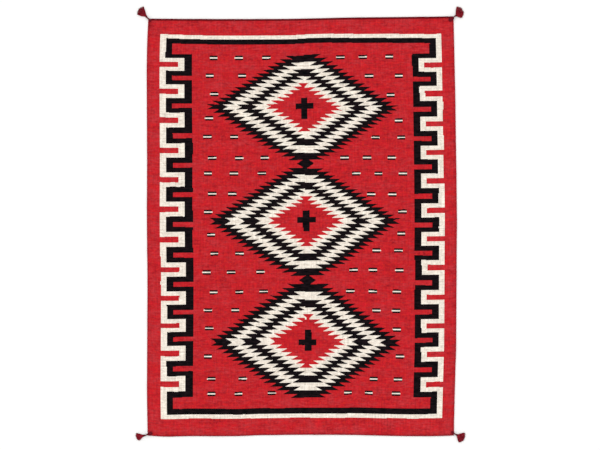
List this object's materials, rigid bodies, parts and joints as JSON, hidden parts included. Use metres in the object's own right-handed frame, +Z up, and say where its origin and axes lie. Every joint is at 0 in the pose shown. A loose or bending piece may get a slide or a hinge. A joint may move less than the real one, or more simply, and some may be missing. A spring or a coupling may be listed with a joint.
{
  "type": "southwest style rug",
  "caption": "Flat woven wool rug in a southwest style, red with serrated diamonds and a stepped border, with corded edges and a yarn tassel at each corner.",
  "frame": {"origin": "middle of the whole rug's footprint, tassels included, on the floor it lies on", "axes": "+Z up out of the rug's face, +Y along its length towards the top edge of the picture, +X across its width"},
  "size_m": [1.7104, 2.2592, 0.0127],
  "materials": {
    "woven_wool": "weft-faced tapestry weave in wool, matt",
    "side_yarn": "twined wool cord, matt",
    "maroon_yarn": "twisted wool yarn, matt"
  },
  "bodies": {
    "root": {"rug_weave": "woven_wool", "end_cord_top": "maroon_yarn", "end_cord_bottom": "maroon_yarn", "side_cord_left": "side_yarn", "side_cord_right": "side_yarn", "corner_knot_top_left": "maroon_yarn", "corner_knot_top_right": "maroon_yarn", "corner_knot_bottom_left": "maroon_yarn", "corner_knot_bottom_right": "maroon_yarn", "tassel_top_left": "maroon_yarn", "tassel_top_right": "maroon_yarn", "tassel_bottom_left": "maroon_yarn", "tassel_bottom_right": "maroon_yarn"}
  },
  "joints": []
}
